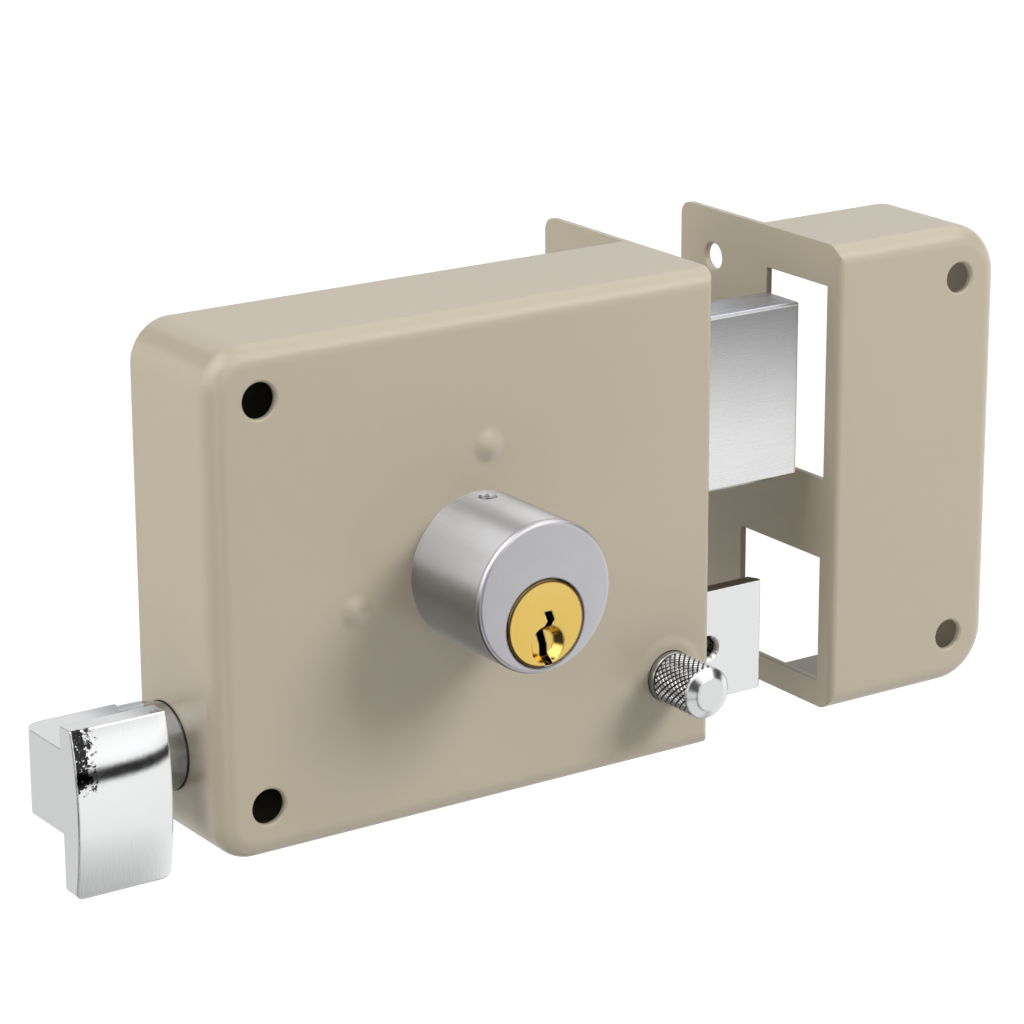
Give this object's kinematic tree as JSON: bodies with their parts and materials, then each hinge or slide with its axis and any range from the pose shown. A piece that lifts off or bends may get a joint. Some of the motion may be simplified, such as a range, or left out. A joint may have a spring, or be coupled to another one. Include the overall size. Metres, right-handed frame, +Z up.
{
  "type": "rim box lock",
  "caption": "Surface-mounted box lock for a door, with a keyed inside cylinder, a sliding dead bolt, a sprung latch with pull handle and snib, and a box strike.",
  "frame": {"origin": "where the key axis meets the back of the case, which lies on the door's inner face", "axes": "+X towards the strike and the door's closing edge, +Y into the door, +Z up"},
  "size_m": [0.2323, 0.0852, 0.1085],
  "materials": {
    "case_paint": "semi-gloss beige enamel",
    "zinc_plate": "zinc-plated steel sheet",
    "steel": "machined steel",
    "satin_nickel": "satin nickel plate",
    "brass": "polished brass",
    "chrome": "polished chrome plate",
    "bright_steel": "fine brushed bright nickel plate"
  },
  "bodies": {
    "case": {"case_shell": "case_paint", "back_plate": "zinc_plate", "back_plate_screws": "steel", "case_posts": "zinc_plate", "guide_studs": "case_paint", "stud_clip": "steel", "bolt_guide": "zinc_plate", "friction_spring": "steel", "cylinder_sleeve": "satin_nickel", "cylinder_body": "brass", "sleeve_set_screw": "steel", "cylinder_fixing_screws": "steel", "driver_pins": "brass", "pin_springs": "steel", "chamber_plugs": "brass", "rod_guide": "zinc_plate", "latch_spring": "steel", "snib_bush": "zinc_plate", "strike_box": "case_paint"},
    "dead_bolt": {"dead_bolt": "bright_steel", "bolt_tail": "steel", "bolt_rivets": "steel"},
    "plug": {"cylinder_plug": "brass", "key_pins": "brass", "drive_pinion": "steel", "pinion_screws": "steel"},
    "latch": {"latch_bolt": "chrome", "latch_tail": "steel", "latch_rivets": "steel"},
    "pull": {"pull_handle": "chrome", "pull_rod": "steel", "rod_nut": "steel"},
    "snib": {"snib_knob": "chrome", "snib_stem": "steel", "snib_clip": "steel"}
  },
  "joints": [
    {"name": "bolt_slide", "type": "slide", "parent": "case", "child": "dead_bolt", "axis": [1, 0, 0], "range_m": [-0.03141, 0]},
    {"name": "plug_turn", "type": "hinge", "parent": "case", "child": "plug", "pos_m": [0, 0, 0], "axis": [0, 1, 0], "range_deg": [-360, 0]},
    {"name": "pull_slide", "type": "slide", "parent": "case", "child": "pull", "axis": [1, 0, 0], "range_m": [-0.0172, 0], "stiffness_N_per_m": 400, "springref_m": 0.01, "deforming": ["latch_spring"]},
    {"name": "latch_slide", "type": "slide", "parent": "case", "child": "latch", "axis": [1, 0, 0], "range_m": [-0.0172, 0]},
    {"name": "snib_push", "type": "slide", "parent": "case", "child": "snib", "axis": [0, 1, 0], "range_m": [0, 0.0024]}
  ],
  "couplings": [
    {"joint": "plug_turn", "follows": "bolt_slide", "rad_per_m": 200},
    {"joint": "latch_slide", "follows": "pull_slide", "ratio": 1}
  ]
}
